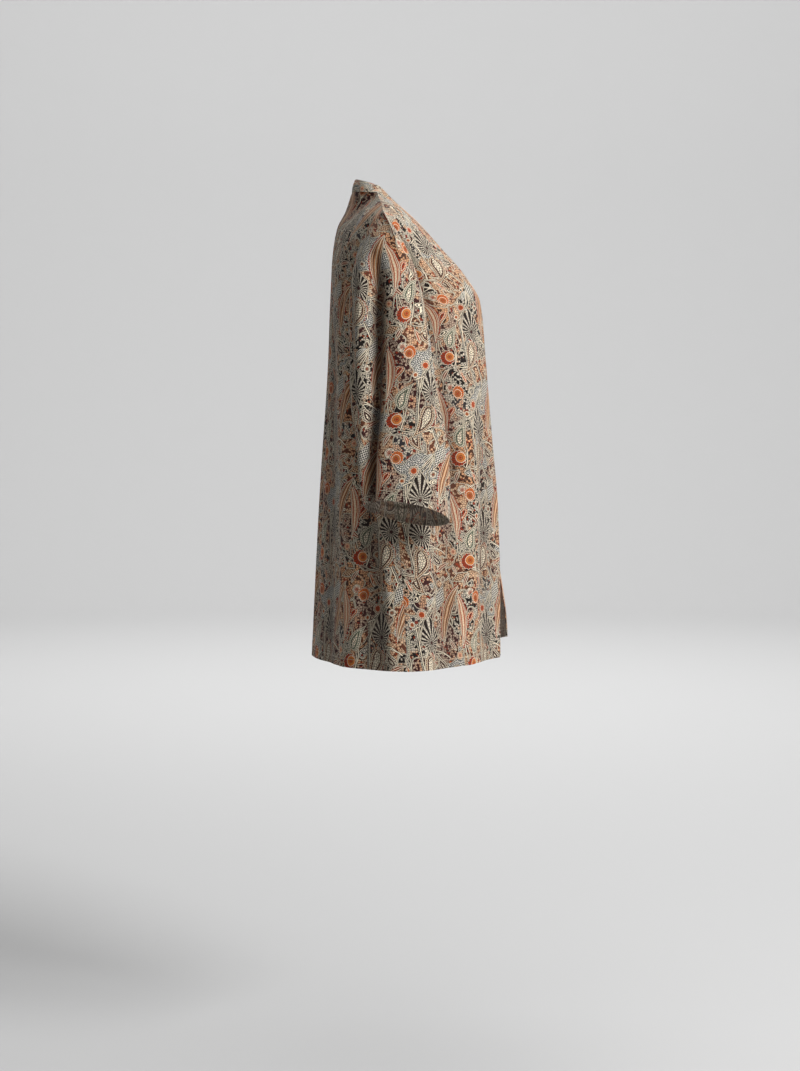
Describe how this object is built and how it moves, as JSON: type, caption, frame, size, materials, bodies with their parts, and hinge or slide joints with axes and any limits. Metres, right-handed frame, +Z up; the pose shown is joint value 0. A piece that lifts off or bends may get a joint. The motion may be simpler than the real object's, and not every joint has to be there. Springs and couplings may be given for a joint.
{
  "type": "kimono coat",
  "caption": "Thigh-length open-front kimono coat with wide three-quarter sleeves and a narrow neck band, in its worn shape",
  "frame": {"origin": "in the middle of the neck opening, level with the inner ends of the shoulder seams, where the coat is held", "axes": "+Z up, -Y out of the coat's open front, +X to the wearer's left"},
  "size_m": [0.5916, 0.3527, 0.8431],
  "materials": {
    "printed_cloth": "matte woven cloth printed with paisley",
    "band_cloth": "matte woven cloth, doubled"
  },
  "bodies": {
    "root": {"back": "printed_cloth", "front_left": "printed_cloth", "front_right": "printed_cloth", "sleeve_left": "printed_cloth", "sleeve_right": "printed_cloth", "neck_band_left": "band_cloth", "neck_band_right": "band_cloth"}
  },
  "joints": []
}
